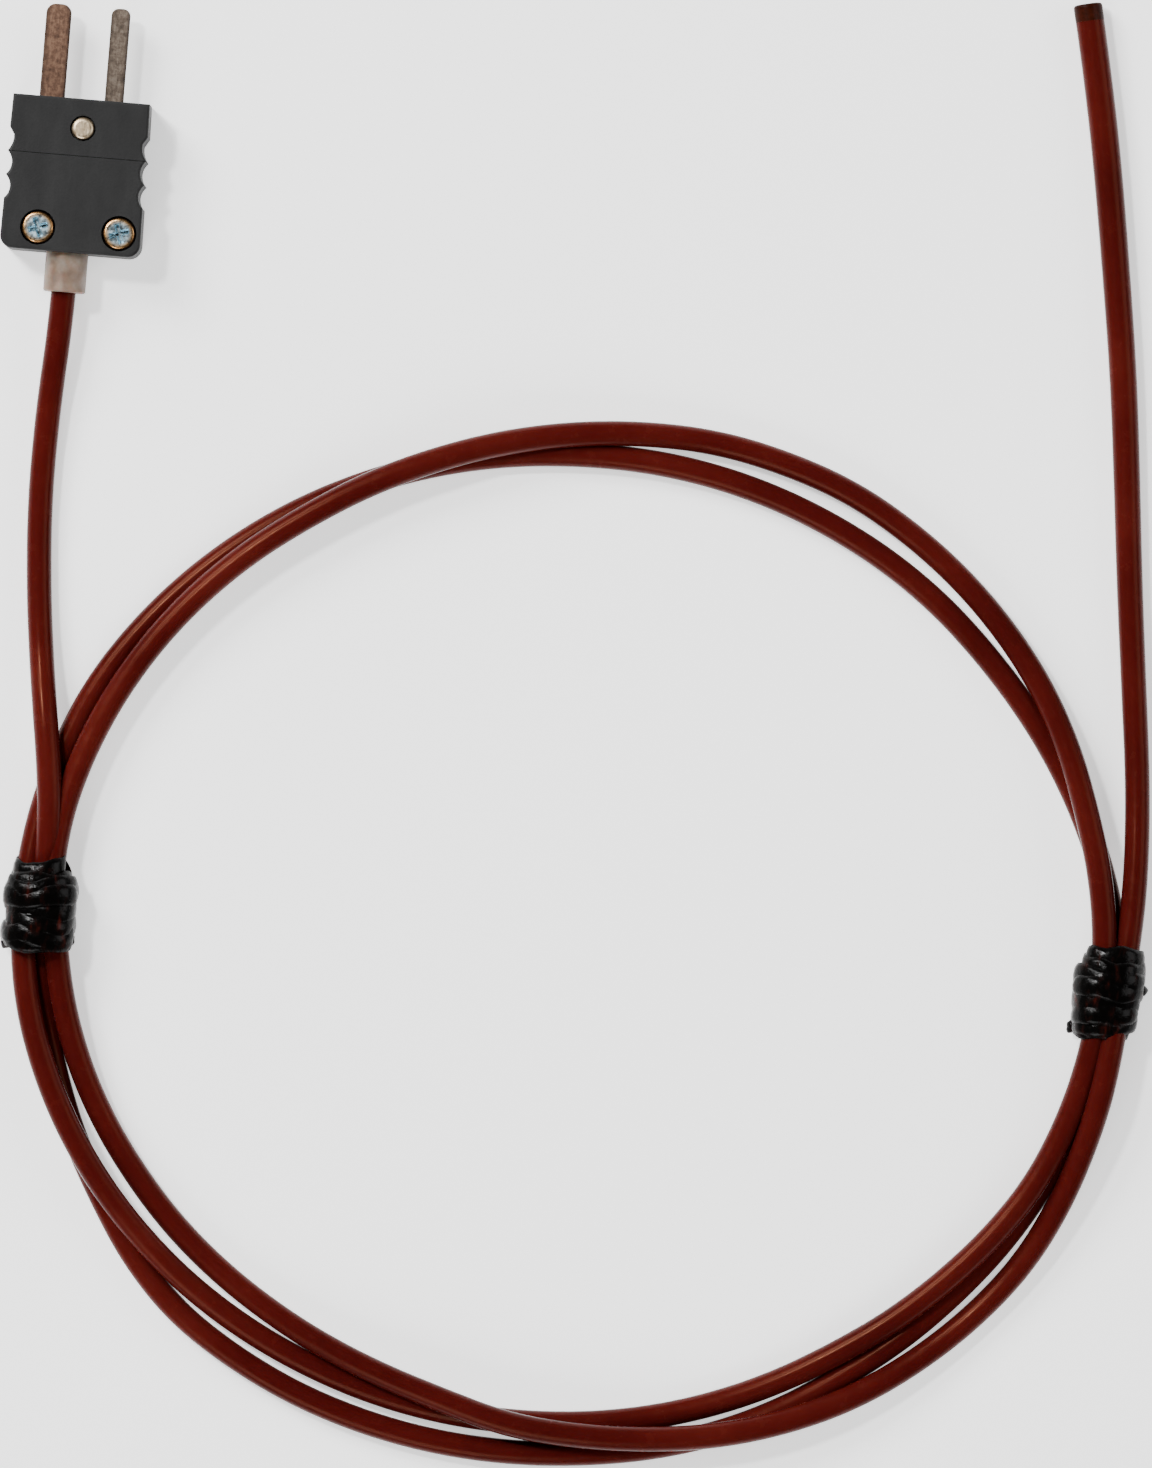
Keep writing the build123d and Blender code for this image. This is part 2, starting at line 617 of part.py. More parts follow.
# ---------------------------------------------------------------- cable, coil, ties and tip
def ring_slab(half_width, low_z, high_z):
    """Oval ring between two heights, as wide as the bundle of cable."""
    with BuildPart() as ring:
        with BuildSketch(Plane.XY.offset(low_z)):
            with Locations(Location((*COIL_CENTRE, 0), (0, 0, COIL_TURN))):
                Ellipse(COIL_SEMI_LONG + half_width, COIL_SEMI_SHORT + half_width)
                Ellipse(
                    COIL_SEMI_LONG - half_width, COIL_SEMI_SHORT - half_width, mode=Mode.SUBTRACT
                )
        extrude(amount=high_z - low_z)
    return ring.part


def tie_plane(angle, height):
    """Plane on the ring at one tie, its X axis pointing outward."""
    x, y, heading = ring_point(angle)
    outward = (math.cos(math.radians(heading)), math.sin(math.radians(heading)), 0)
    return Plane(origin=(x, y, height), x_dir=outward, z_dir=(0, 0, 1))


def make_coil():
    """Outer shape of the coiled cable, raised under each tie by the tie's own thickness."""
    ring = ring_slab(COIL_HALF_WIDTH, 0, COIL_HEIGHT)
    with BuildPart() as coil:
        add(ring)
        for angle in (LEFT_TIE_ANGLE, RIGHT_TIE_ANGLE):
            with BuildSketch(tie_plane(angle, 0)):
                Rectangle(2 * TIE_WIDTH, TIE_LENGTH)
            extrude(amount=TIE_UNDERWRAP, mode=Mode.SUBTRACT)
    return finish_piece(coil, "cable_coil")


def make_tie(angle, coil, name):
    """Tie wound several times round the bundle, as one rounded band."""
    with BuildPart() as tie:
        with BuildSketch(tie_plane(angle, 0)):
            RectangleRounded(TIE_WIDTH, TIE_LENGTH, TIE_CORNER_RADIUS)
        extrude(amount=TIE_HEIGHT)
        fillet(tie.faces().sort_by(Axis.Z)[-1].edges(), TIE_TOP_ROUND)
        add(coil, mode=Mode.SUBTRACT)
    return finish_piece(tie, name)


def make_cable_tube(route, name, cutters):
    """One uncoiled stretch of cable, trimmed where it joins the coil and its ties."""
    wire = route_wire(route, name)
    with BuildPart() as tube:
        with BuildSketch(Plane(origin=wire @ 0, z_dir=wire % 0)):
            Circle(CABLE_RADIUS)
        sweep(path=wire)
        report_tube(tube.part, wire, CABLE_DIAMETER, name)
        for cutter in cutters:
            add(cutter, mode=Mode.SUBTRACT)
    return finish_piece(tube, name)


def make_tip():
    """Fused end of the jacket and, inside it, the welded bead of the measuring junction."""
    wire = route_wire(TIP_ROUTE, "tip")
    face = Plane(origin=wire @ 1, z_dir=wire % 1)
    with BuildPart() as seal:
        with BuildSketch(face):
            Circle(TIP_DIAMETER / 2)
        extrude(amount=TIP_LENGTH)
        fillet(seal.edges().sort_by(Axis.Y)[-1], TIP_ROUND)
        with BuildSketch(face):
            Circle(BEAD_RADIUS + RUNNING_GAP)
        extrude(amount=BEAD_LENGTH + OVERCUT, mode=Mode.SUBTRACT)
    finish_piece(seal, "tip_seal")
    with BuildPart() as bead:
        with BuildSketch(face):
            Circle(BEAD_RADIUS)
        extrude(amount=BEAD_LENGTH)
        fillet(bead.edges().sort_by(Axis.Y)[-1], BEAD_ROUND)
    finish_piece(bead, "junction_bead")


# ---------------------------------------------------------------- build everything
make_housing_base()
make_front_cap()
make_rear_cover()
make_pin(NEGATIVE_X, NEGATIVE_WIDTH, "pin_negative")
make_pin(POSITIVE_X, POSITIVE_WIDTH, "pin_positive")
make_rivet()
for hand, screw_place in COVER_SCREW_PLACES.items():
    make_cover_screw(screw_place, f"cover_screw_{hand}")
    make_cover_insert(screw_place, f"cover_insert_{hand}")
for sign, terminal_x, polarity in ((-1, NEGATIVE_X, "negative"), (1, POSITIVE_X, "positive")):
    make_terminal_screw(terminal_x, f"terminal_screw_{polarity}")
    make_terminal_washer(terminal_x, f"terminal_washer_{polarity}")
    make_conductor(sign, f"conductor_{polarity}")
    make_leg_insulation(sign, f"leg_insulation_{polarity}")
make_sleeve()
coil_solid = make_coil()
left_tie = make_tie(LEFT_TIE_ANGLE, coil_solid, "tie_left")
right_tie = make_tie(RIGHT_TIE_ANGLE, coil_solid, "tie_right")
make_cable_tube(LEAD_ROUTE, "cable_lead", [coil_solid, left_tie])
make_cable_tube(TIP_ROUTE, "cable_tip_lead", [coil_solid, right_tie])
make_tip()
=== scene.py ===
"""Looks of the thermocouple: a miniature flat-pin plug, its cable tied in a coil, and a sealed tip.

Everything is in metres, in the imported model's frame. The plug, pins and screws keep their meshes and
get their finishes here. The cable is one smooth spline, and each tie is a wound black strand.
"""

import math

import bpy
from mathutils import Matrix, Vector, noise


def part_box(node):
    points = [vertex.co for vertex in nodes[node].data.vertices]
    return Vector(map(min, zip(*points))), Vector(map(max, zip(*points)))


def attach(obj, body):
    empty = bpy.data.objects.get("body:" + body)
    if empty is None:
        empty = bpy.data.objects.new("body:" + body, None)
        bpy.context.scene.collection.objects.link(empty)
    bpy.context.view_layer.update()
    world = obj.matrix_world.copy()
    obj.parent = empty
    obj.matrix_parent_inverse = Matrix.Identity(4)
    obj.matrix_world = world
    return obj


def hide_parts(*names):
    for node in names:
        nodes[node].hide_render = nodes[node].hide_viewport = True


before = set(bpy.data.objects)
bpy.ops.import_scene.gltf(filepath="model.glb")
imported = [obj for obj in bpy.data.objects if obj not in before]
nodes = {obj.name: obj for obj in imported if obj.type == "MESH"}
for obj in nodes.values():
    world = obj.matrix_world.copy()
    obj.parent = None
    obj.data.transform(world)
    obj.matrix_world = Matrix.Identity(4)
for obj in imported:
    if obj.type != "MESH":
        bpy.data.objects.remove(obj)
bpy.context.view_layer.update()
BODY = "plug_and_cable"

# ---------------------------------------------------------------- driving numbers, the part's own
MM = 0.001
PARTING_HEIGHT = 0.0040
PARTING_LINE = 0.0001
CABLE_DIAMETER = 0.0032
CABLE_RADIUS = CABLE_DIAMETER / 2
COIL_CENTRE = (0.0712, -0.0952)
COIL_SEMI_LONG = 0.0682
COIL_SEMI_SHORT = 0.0633
COIL_TURN = math.radians(4.7)
LEFT_TIE = 175.6
RIGHT_TIE = 354.0
TIE_LENGTH = 0.0119
TIE_UNDERWRAP = 0.0008
TIE_HALF_WIDTH = 0.0049

# how far each tie's winding stands out along it, from its lower end to its upper end
TIE_PROFILES = {
    "tie_left": [
        (-0.5, 0.92), (-0.33, 1.06), (-0.15, 0.99), (0.05, 1.06), (0.2, 0.93), (0.34, 0.78), (0.5, 0.7),
    ],
    "tie_right": [
        (-0.5, 0.72), (-0.35, 0.84), (-0.2, 0.95), (0.0, 1.0), (0.2, 0.97), (0.35, 0.85), (0.5, 0.74),
    ],
}
# outward drift of the winding along a tie's upper half, where the strands spread apart
TIE_DRIFT = 0.08
# each tie's loose ends: how far out, how far along, height, heading out of the ring, and length
TIE_NUBS = {
    "tie_left": [(0.0036, -0.0046, 0.0022, -1.1, 0.0019), (-0.0036, -0.0040, 0.0026, -2.2, 0.0014)],
    "tie_right": [
        (0.0037, 0.0006, 0.0042, 0.15, 0.0015),
        (0.0020, -0.0048, 0.0020, -1.3, 0.0016),
        (-0.0036, -0.0042, 0.0022, -2.0, 0.0017),
    ],
}

# the cable's route from inside the plug to the coil, and from the coil to the tip
LEAD_ROUTE = [
    (-0.0004, -0.00825, 0.0040),
    (-0.0004, -0.0205, 0.0040),
    (-0.0013, -0.0330, 0.0021),
    (-0.00145, -0.0445, 0.0016),
    (-0.0007, -0.0555, 0.0017),
    (0.0004, -0.0645, 0.0022),
    (0.0016, -0.0720, 0.0043),
    (0.0027, -0.0790, 0.00475),
    (0.0034, -0.0860, 0.0047),
]
TIP_ROUTE = [
    (0.1416, -0.0890, 0.0044),
    (0.1418, -0.0810, 0.0039),
    (0.1412, -0.0700, 0.0023),
    (0.1396, -0.0570, 0.0017),
    (0.1380, -0.0440, 0.00165),
    (0.1366, -0.0310, 0.00165),
    (0.1351, -0.0180, 0.0018),
    (0.1331, -0.0050, 0.00185),
    (0.13115, 0.0070, 0.0019),
    (0.1291, 0.0180, 0.0019),
    (0.1271, 0.0270, 0.0019),
]

# the coil: degrees turned, and how far the strand strays outward from the mean ring, in millimetres
COIL_START = 180.0
COIL_END = 1068.0
COIL_STEP = 7.5
STRAYS = [
    (180, 0.0), (195, 0.4), (210, 1.6), (217, 2.8), (225, 3.65), (240, 3.35), (270, 2.2), (282, 2.0),
    (290, 1.6), (300, 0.7), (315, 0.25), (330, 0.3), (345, 0.6), (360, 0.7), (375, -1.2), (385, -2.2),
    (395, -2.8), (420, -2.4), (450, -1.4), (480, 0.4), (510, 2.0), (530, 2.1), (545, 2.1), (570, 0.7),
    (600, -0.7), (625, -1.5), (640, -1.8), (660, -2.3), (675, -1.8), (690, -0.8), (735, -0.8), (750, 0.6),
    (765, 1.6), (780, 2.5), (795, 2.3), (825, 0.0), (840, -0.8), (890, -0.6), (900, -2.1), (930, -3.6),
    (950, -4.0), (965, -3.7), (975, -2.8), (984, -0.9), (990, -0.3), (1000, 1.1), (1008, 2.5), (1020, 3.7), (1032, 4.1),
    (1042, 4.1), (1050, 3.3), (1062, 1.9), (1074, 1.7),
]


# ---------------------------------------------------------------- camera
def make_camera():
    """Long lens looking straight down, turned a little so that the plug leans to the left."""
    view_height = 0.187
    distance = 1.5
    data = bpy.data.cameras.new("camera")
    data.sensor_width = 36.0
    data.lens = data.sensor_width * distance / view_height
    data.clip_end = 20.0
    camera = bpy.data.objects.new("camera", data)
    camera.location = (0.0692, -0.0690, distance + 0.004)
    camera.rotation_euler = (0, 0, COIL_TURN)
    bpy.context.collection.objects.link(camera)
    bpy.context.scene.camera = camera


# ---------------------------------------------------------------- cable
def ring_point(angle_deg, outward, hull=1.0):
    """Point on the coil's mean ring, in plan, moved outward along the ring's normal."""
    angle = math.radians(angle_deg)
    along = COIL_SEMI_LONG * math.cos(angle) * hull
    across = COIL_SEMI_SHORT * math.sin(angle) * hull
    normal = Vector((COIL_SEMI_SHORT * math.cos(angle), COIL_SEMI_LONG * math.sin(angle))).normalized()
    along += outward * normal.x
    across += outward * normal.y
    x = COIL_CENTRE[0] + along * math.cos(COIL_TURN) - across * math.sin(COIL_TURN)
    y = COIL_CENTRE[1] + along * math.sin(COIL_TURN) + across * math.cos(COIL_TURN)
    return x, y


def stray(turned):
    """How far outward the strand lies after it has turned so many degrees."""
    for (start, first), (end, second) in zip(STRAYS, STRAYS[1:]):
        if turned <= end:
            share = (turned - start) / (end - start)
            return MM * (first + (second - first) * share)
    return MM * STRAYS[-1][1]


def tie_lift(turned):
    """Height by which the nearer tie's winding raises the strands."""
    lift = 0.0
    for tie in (LEFT_TIE, RIGHT_TIE):
        away = abs((turned - tie + 180) % 360 - 180)
        held = 1 - max(0.0, away - 5) / 9
        lift = max(lift, TIE_UNDERWRAP * held)
    return lift


def resting_height(turned):
    """Height at which the strand lies on the floor or on the turns laid before it."""
    height = CABLE_RADIUS + tie_lift(turned)
    reach = CABLE_DIAMETER
    earlier = turned - 360
    while earlier > COIL_START - 5:
        gap = abs(stray(turned) - stray(earlier))
        if gap < reach:
            height = max(height, resting_height(earlier) + math.sqrt(reach**2 - gap**2))
        earlier -= 360
    return height


def easy_height(turned):
    """Resting height averaged over a short stretch, because the cable is too stiff to step."""
    nearby = [turned + offset for offset in (-11, -7.5, -3.75, 0, 3.75, 7.5, 11)]
    held = [min(max(place, COIL_START), COIL_END) for place in nearby]
    return sum(resting_height(place) for place in held) / len(held)


def coil_points():
    """Control points of the two and a half turns, set out so that the spline lies on the ring."""
    hull = 1 / (0.75 + 0.25 * math.cos(math.radians(COIL_STEP)))
    points = []
    turned = COIL_START
    while turned <= COIL_END:
        x, y = ring_point(turned, stray(turned), hull)
        points.append((x, y, easy_height(turned)))
        turned += COIL_STEP
    return points


def make_cable():
    """The whole cable as one spline: out of the plug, round the coil, through the ties, to the tip."""
    coil = coil_points()
    points = LEAD_ROUTE + coil + TIP_ROUTE
    data = bpy.data.curves.new("cable", "CURVE")
    data.dimensions = "3D"
    data.bevel_depth = CABLE_RADIUS
    data.bevel_resolution = 7
    data.use_fill_caps = True
    spline = data.splines.new("NURBS")
    spline.points.add(len(points) - 1)
    tip_start = len(LEAD_ROUTE) + len(coil)
    for index, (point, place) in enumerate(zip(spline.points, points)):
        point.co = (*place, 1.0)
        # the jacket swells a little towards the sealed end
        swell = (index - tip_start - 2) / (len(TIP_ROUTE) - 5)
        point.radius = 1 + 0.15 * min(max(swell, 0.0), 1.0)
    spline.order_u = 3
    spline.use_endpoint_u = True
    spline.resolution_u = 10
    cable = bpy.data.objects.new("cable", data)
    bpy.context.collection.objects.link(cable)
    return cable


# ---------------------------------------------------------------- finishes
class Finish:
    """A node material being put together round one Principled shader."""

    def __init__(self, name, **values):
        self.material = bpy.data.materials.new(name)
        self.material.use_nodes = True
        self.tree = self.material.node_tree
        self.tree.nodes.clear()
        output = self.tree.nodes.new("ShaderNodeOutputMaterial")
        self.shader = self.tree.nodes.new("ShaderNodeBsdfPrincipled")
        self.join(self.shader.outputs["BSDF"], output.inputs["Surface"])
        for socket, value in values.items():
            self.shader.inputs[socket.replace("_", " ")].default_value = value
        self.place = self.tree.nodes.new("ShaderNodeTexCoord").outputs["Object"]

    def join(self, source, target):
        self.tree.links.new(source, target)

    def stretched(self, scale):
        """Object coordinates drawn out along the axes, for grain that runs one way."""
        mapping = self.tree.nodes.new("ShaderNodeMapping")
        mapping.inputs["Scale"].default_value = scale
        self.join(self.place, mapping.inputs["Vector"])
        return mapping.outputs["Vector"]

    def noise(self, size, detail=3.0, rough=0.5, vector=None):
        """Soft blotches about one size across, in metres."""
        node = self.tree.nodes.new("ShaderNodeTexNoise")
        node.inputs["Scale"].default_value = 1 / size
        node.inputs["Detail"].default_value = detail
        node.inputs["Roughness"].default_value = rough
        self.join(vector or self.place, node.inputs["Vector"])
        return node.outputs["Fac"]

    def specks(self, size):
        """Distance to the nearest of many scattered points, for pits and grain."""
        node = self.tree.nodes.new("ShaderNodeTexVoronoi")
        node.inputs["Scale"].default_value = 1 / size
        self.join(self.place, node.inputs["Vector"])
        return node.outputs["Distance"]

    def ramp(self, factor, *stops):
        """Colour from a factor, through stops of (position, colour)."""
        node = self.tree.nodes.new("ShaderNodeValToRGB")
        stretch = node.color_ramp.elements
        while len(stretch) < len(stops):
            stretch.new(0.5)
        for element, (position, colour) in zip(stretch, stops):
            element.position = position
            element.color = (*colour, 1.0)
        self.join(factor, node.inputs["Fac"])
        return node.outputs["Color"]

    def range(self, factor, low, high, from_low=0.3, from_high=0.7):
        """A factor's middle range spread from low to high."""
        node = self.tree.nodes.new("ShaderNodeMapRange")
        node.inputs["From Min"].default_value = from_low
        node.inputs["From Max"].default_value = from_high
        node.inputs["To Min"].default_value = low
        node.inputs["To Max"].default_value = high
        self.join(factor, node.inputs["Value"])
        return node.outputs["Result"]

    def mix(self, factor, first, second, blend="MIX"):
        """Two colours mixed by a factor, which may be a number."""
        node = self.tree.nodes.new("ShaderNodeMix")
        node.data_type = "RGBA"
        node.blend_type = blend
        if isinstance(factor, float):
            node.inputs[0].default_value = factor
        else:
            self.join(factor, node.inputs[0])
        self.join(first, node.inputs[6])
        self.join(second, node.inputs[7])
        return node.outputs[2]

    def sum(self, first, second, share):
        """First factor plus a share of the second."""
        node = self.tree.nodes.new("ShaderNodeMath")
        node.operation = "MULTIPLY_ADD"
        self.join(second, node.inputs[0])
        node.inputs[1].default_value = share
        self.join(first, node.inputs[2])
        return node.outputs[0]

    def away_from(self, x, y):
        """Distance in plan from one upright axis, in metres."""
        middle = self.tree.nodes.new("ShaderNodeVectorMath")
        middle.operation = "SUBTRACT"
        self.join(self.place, middle.inputs[0])
        middle.inputs[1].default_value = (x, y, 0)
        flat = self.tree.nodes.new("ShaderNodeVectorMath")
        flat.operation = "MULTIPLY"
        self.join(middle.outputs[0], flat.inputs[0])
        flat.inputs[1].default_value = (1, 1, 0)
        length = self.tree.nodes.new("ShaderNodeVectorMath")
        length.operation = "LENGTH"
        self.join(flat.outputs[0], length.inputs[0])
        return length.outputs["Value"]

    def off(self, axis, level):
        """Distance from one plane square to an axis, in metres."""
        parts = self.tree.nodes.new("ShaderNodeSeparateXYZ")
        self.join(self.place, parts.inputs[0])
        less = self.tree.nodes.new("ShaderNodeMath")
        less.operation = "SUBTRACT"
        self.join(parts.outputs[axis], less.inputs[0])
        less.inputs[1].default_value = level
        size = self.tree.nodes.new("ShaderNodeMath")
        size.operation = "ABSOLUTE"
        self.join(less.outputs[0], size.inputs[0])
        return size.outputs[0]

    def colour(self, source):
        self.join(source, self.shader.inputs["Base Color"])

    def roughness(self, source):
        self.join(source, self.shader.inputs["Roughness"])

    def bump(self, height, depth, strength=1.0):
        """Relief of one depth in metres on the surface."""
        node = self.tree.nodes.new("ShaderNodeBump")
        node.inputs["Strength"].default_value = strength
        node.inputs["Distance"].default_value = depth
        self.join(height, node.inputs["Height"])
        self.join(node.outputs["Normal"], self.shader.inputs["Normal"])


def cable_finish():
    """Glossy red-brown jacket, slightly see-through at its sides, with faint waves and scuffs."""
    finish = Finish(
        "cable_jacket",
        IOR=1.36,
        Specular_IOR_Level=0.13,
        Specular_Tint=(1.0, 0.45, 0.25, 1.0),
        Subsurface_Weight=0.35,
        Subsurface_Scale=0.0014,
        Subsurface_Radius=(1.0, 0.2, 0.06),
    )
    drift = finish.noise(0.02, 2.0)
    mottle = finish.noise(0.0018, 4.0, 0.6)
    blend = finish.sum(drift, mottle, 0.2)
    colour = finish.ramp(
        blend,
        (0.4, (0.040, 0.0032, 0.0026)),
        (0.6, (0.052, 0.0043, 0.0034)),
        (0.85, (0.068, 0.0068, 0.0050)),
    )
    finish.colour(colour)
    finish.roughness(finish.range(mottle, 0.16, 0.3))
    ripples = finish.noise(0.0011, 2.0)
    finish.bump(ripples, 0.00003, 0.4)
    return finish.material


def housing_finish():
    """Satin charcoal moulding with fine grain, faint flow marks and a thin parting line."""
    finish = Finish("housing", IOR=1.4, Specular_IOR_Level=0.25)
    flow = finish.noise(0.004, 3.0, 0.6, finish.stretched((1.0, 0.35, 1.0)))
    grain = finish.noise(0.00022, 2.0, 0.7)
    blend = finish.sum(flow, grain, 0.35)
    colour = finish.ramp(
        blend,
        (0.4, (0.0085, 0.0085, 0.0087)),
        (0.7, (0.0125, 0.0125, 0.0126)),
        (1.0, (0.019, 0.019, 0.019)),
    )
    parting = finish.range(finish.off("Z", PARTING_HEIGHT), 0.0, 1.0, PARTING_LINE / 3, PARTING_LINE)
    line = finish.ramp(parting, (0.0, (0.15, 0.15, 0.15)), (1.0, (1, 1, 1)))
    finish.colour(finish.mix(1.0, colour, line, "MULTIPLY"))
    finish.roughness(finish.range(grain, 0.42, 0.62))
    finish.bump(grain, 0.00003, 0.6)
    return finish.material


def pin_finish(name, x, half_width, dark, middle, light):
    """Tarnished rolled strip: blotched middle, darker towards the long edges, fine lines along the blade."""
    finish = Finish(name, Metallic=0.5, Specular_IOR_Level=0.3)
    blotch = finish.noise(0.0006, 5.0, 0.7)
    lines = finish.noise(0.00025, 3.0, 0.6, finish.stretched((1.0, 0.2, 1.0)))
    tarnish = finish.ramp(finish.sum(blotch, lines, 0.4), (0.5, dark), (0.68, middle), (0.9, light))
    side = finish.range(finish.off("X", x), 0.0, 1.0, 0.6 * half_width, half_width)
    edge = finish.ramp(side, (0.0, (1, 1, 1)), (1.0, (0.35, 0.3, 0.28)))
    finish.colour(finish.mix(1.0, tarnish, edge, "MULTIPLY"))
    finish.roughness(finish.range(blotch, 0.45, 0.75))
    finish.bump(lines, 0.00005, 0.7)
    return finish.material


def cover_screw_finish(name, x, y):
    """Bluish plating in the middle of the head, worn to brass towards its rim; the bright middle is also a painted
    highlight, and the darkest rim a painted shade.
    """
    finish = Finish(name, Metallic=1.0)
    wear = finish.noise(0.0006, 4.0, 0.6)
    reach = finish.sum(finish.range(finish.away_from(x, y), 0.0, 1.0, 0.0008, 0.0021), wear, 0.35)
    # painted highlight: the bright bluish middle of the domed head; painted shade: the dark brown at its rim, over the
    # plating and brass colours
    colour = finish.ramp(
        reach,
        (0.5, (0.66, 0.86, 0.95)),
        (0.68, (0.6, 0.56, 0.48)),
        (0.88, (0.55, 0.33, 0.14)),
        (1.0, (0.24, 0.12, 0.05)),
    )
    finish.colour(colour)
    finish.roughness(finish.range(wear, 0.16, 0.4))
    finish.bump(wear, 0.00005, 0.5)
    return finish.material


def metal_finish(name, dark, light, smooth, rough):
    """Plain turned or plated metal with soft stains and fine scratches."""
    finish = Finish(name, Metallic=0.95)
    stain = finish.noise(0.0012, 4.0, 0.6)
    scratch = finish.noise(0.00025, 3.0, 0.7, finish.stretched((1.0, 0.2, 1.0)))
    finish.colour(finish.ramp(finish.sum(stain, scratch, 0.3), (0.45, dark), (0.85, light)))
    finish.roughness(finish.range(scratch, smooth, rough))
    finish.bump(scratch, 0.00002, 0.5)
    return finish.material


def sleeve_finish():
    """Milky, slightly grubby translucent plastic."""
    finish = Finish(
        "sleeve", IOR=1.42, Subsurface_Weight=0.6, Subsurface_Scale=0.002, Transmission_Weight=0.25
    )
    cloud = finish.noise(0.003, 4.0, 0.6)
    grime = finish.noise(0.0007, 3.0, 0.6)
    colour = finish.ramp(
        finish.sum(cloud, grime, 0.3),
        (0.45, (0.18, 0.12, 0.085)),
        (0.7, (0.27, 0.195, 0.145)),
        (0.95, (0.38, 0.3, 0.24)),
    )
    finish.colour(colour)
    finish.roughness(finish.range(grime, 0.3, 0.5))
    finish.bump(cloud, 0.00008, 0.4)
    return finish.material


def plastic_finish(name, dark, light, smooth, rough, relief=0.00003, gloss=0.18):
    """Small plastic piece with mottled colour and a slightly uneven gloss."""
    finish = Finish(name, IOR=1.45, Specular_IOR_Level=gloss)
    mottle = finish.noise(0.0008, 4.0, 0.6)
    grain = finish.noise(0.0002, 2.0, 0.6)
    finish.colour(finish.ramp(finish.sum(mottle, grain, 0.3), (0.45, dark), (0.85, light)))
    finish.roughness(finish.range(mottle, smooth, rough))
    finish.bump(mottle, relief, 0.6)
    return finish.material


def give(name, material):
    """Put one finish on every slot of a CAD node."""
    mesh = nodes[name].data
    for index in range(len(mesh.materials)):
        mesh.materials[index] = material
    if not mesh.materials:
        mesh.materials.append(material)


def finish_cad_nodes():
    """Finishes of the plug's own pieces and of the sealed tip."""
    housing = housing_finish()
    for name in ("housing_base", "front_cap", "rear_cover"):
        give(name, housing)
    low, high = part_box("pin_negative")
    negative_x = (low[0] + high[0]) / 2
    low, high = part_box("pin_positive")
    positive_x = (low[0] + high[0]) / 2
    copper = pin_finish(
        "pin_alloy_negative", negative_x, 0.0016, (0.045, 0.022, 0.013), (0.10, 0.052, 0.032), (0.19, 0.11, 0.07)
    )
    iron = pin_finish(
        "pin_alloy_positive", positive_x, 0.0012, (0.045, 0.033, 0.024), (0.095, 0.07, 0.052), (0.18, 0.145, 0.115)
    )
    give("pin_negative", copper)
    give("pin_positive", iron)
    for hand in ("left", "right"):
        low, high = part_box(f"cover_screw_{hand}")
        x, y = (low[0] + high[0]) / 2, (low[1] + high[1]) / 2
        give(f"cover_screw_{hand}", cover_screw_finish(f"screw_metal_{hand}", x, y))
    brass = metal_finish("insert_brass", (0.4, 0.24, 0.08), (0.7, 0.5, 0.22), 0.25, 0.5)
    terminal = metal_finish("terminal_metal", (0.4, 0.4, 0.38), (0.7, 0.7, 0.68), 0.22, 0.45)
    rivet = metal_finish("rivet_metal", (0.26, 0.18, 0.1), (0.72, 0.58, 0.4), 0.3, 0.5)
    wire = metal_finish("conductor_alloy", (0.3, 0.24, 0.18), (0.6, 0.54, 0.46), 0.25, 0.45)
    light = plastic_finish("leg_insulation_light", (0.6, 0.58, 0.52), (0.8, 0.79, 0.75), 0.25, 0.4)
    dark = plastic_finish("leg_insulation_dark", (0.012, 0.012, 0.012), (0.03, 0.03, 0.03), 0.25, 0.4)
    tip = plastic_finish("tip_seal", (0.014, 0.003, 0.0012), (0.03, 0.005, 0.002), 0.25, 0.4, 0.00005, 0.05)
    give("front_rivet", rivet)
    give("cable_sleeve", sleeve_finish())
    give("tip_seal", tip)
    give("junction_bead", wire)
    for polarity, insulation in (("negative", light), ("positive", dark)):
        give(f"terminal_screw_{polarity}", terminal)
        give(f"terminal_washer_{polarity}", terminal)
        give(f"conductor_{polarity}", wire)
        give(f"leg_insulation_{polarity}", insulation)
    for hand in ("left", "right"):
        give(f"cover_insert_{hand}", brass)


# ---------------------------------------------------------------- ties
def tie_axes(angle):
    """Middle of a tie on the floor, the way out of the ring, and the way up along the bundle."""
    middle = Vector((*ring_point(angle, 0.0), 0.0))
    outward = (Vector((*ring_point(angle, 0.01), 0.0)) - middle).normalized()
    along = Vector((-outward.y, outward.x, 0.0))
    return middle, outward, along if along.y > 0 else -along


def swelling(name, share):
    """How far a tie's winding stands out at one share of its length."""
    profile = TIE_PROFILES[name]
    for (start, first), (end, second) in zip(profile, profile[1:]):
        if share <= end:
            ease = (1 - math.cos(math.pi * max(0.0, share - start) / (end - start))) / 2
            return first + (second - first) * ease
    return profile[-1][1]


def loft(name, rings):
    """Closed smooth mesh over a row of rings with the same number of points."""
    sides = len(rings[0])
    faces = []
    for index in range(len(rings) - 1):
        for corner in range(sides):
            beside = (corner + 1) % sides
            start, onward = index * sides, (index + 1) * sides
            faces.append((start + corner, start + beside, onward + beside, onward + corner))
    faces.append(tuple(range(sides))[::-1])
    faces.append(tuple((len(rings) - 1) * sides + corner for corner in range(sides)))
    mesh = bpy.data.meshes.new(name)
    mesh.from_pydata([point for ring in rings for point in ring], [], faces)
    mesh.shade_smooth()
    piece = bpy.data.objects.new(name, mesh)
    bpy.context.collection.objects.link(piece)
    return piece


